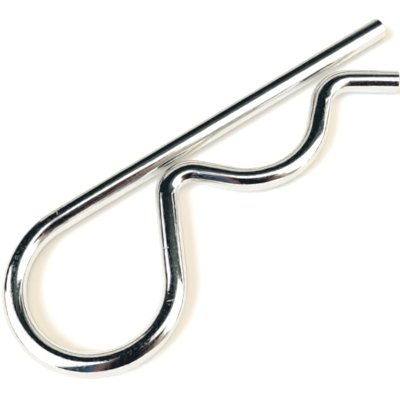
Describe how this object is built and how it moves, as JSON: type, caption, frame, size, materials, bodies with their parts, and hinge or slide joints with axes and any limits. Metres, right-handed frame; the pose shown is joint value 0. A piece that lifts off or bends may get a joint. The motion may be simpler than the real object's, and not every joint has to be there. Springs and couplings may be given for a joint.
{
  "type": "hitch r clip pin",
  "caption": "Round wire bent flat: a straight leg for a shaft's cross hole, a pull loop, and a waved spring leg whose seat grips the shaft, with a flared lead-in.",
  "frame": {"origin": "where the straight leg's axis crosses the axis of the shaft that the seat holds, at mid height of the wire", "axes": "+X along the straight leg to its tip, -Y towards the waved leg, +Z along the shaft, square to the plane of the wire"},
  "size_m": [0.0661, 0.0236, 0.0032],
  "materials": {
    "plated_wire": "bright zinc plated spring steel wire, mirror smooth, with fine drawing lines and small tool marks at the bends"
  },
  "bodies": {
    "root": {"r_clip": "plated_wire"}
  },
  "joints": []
}
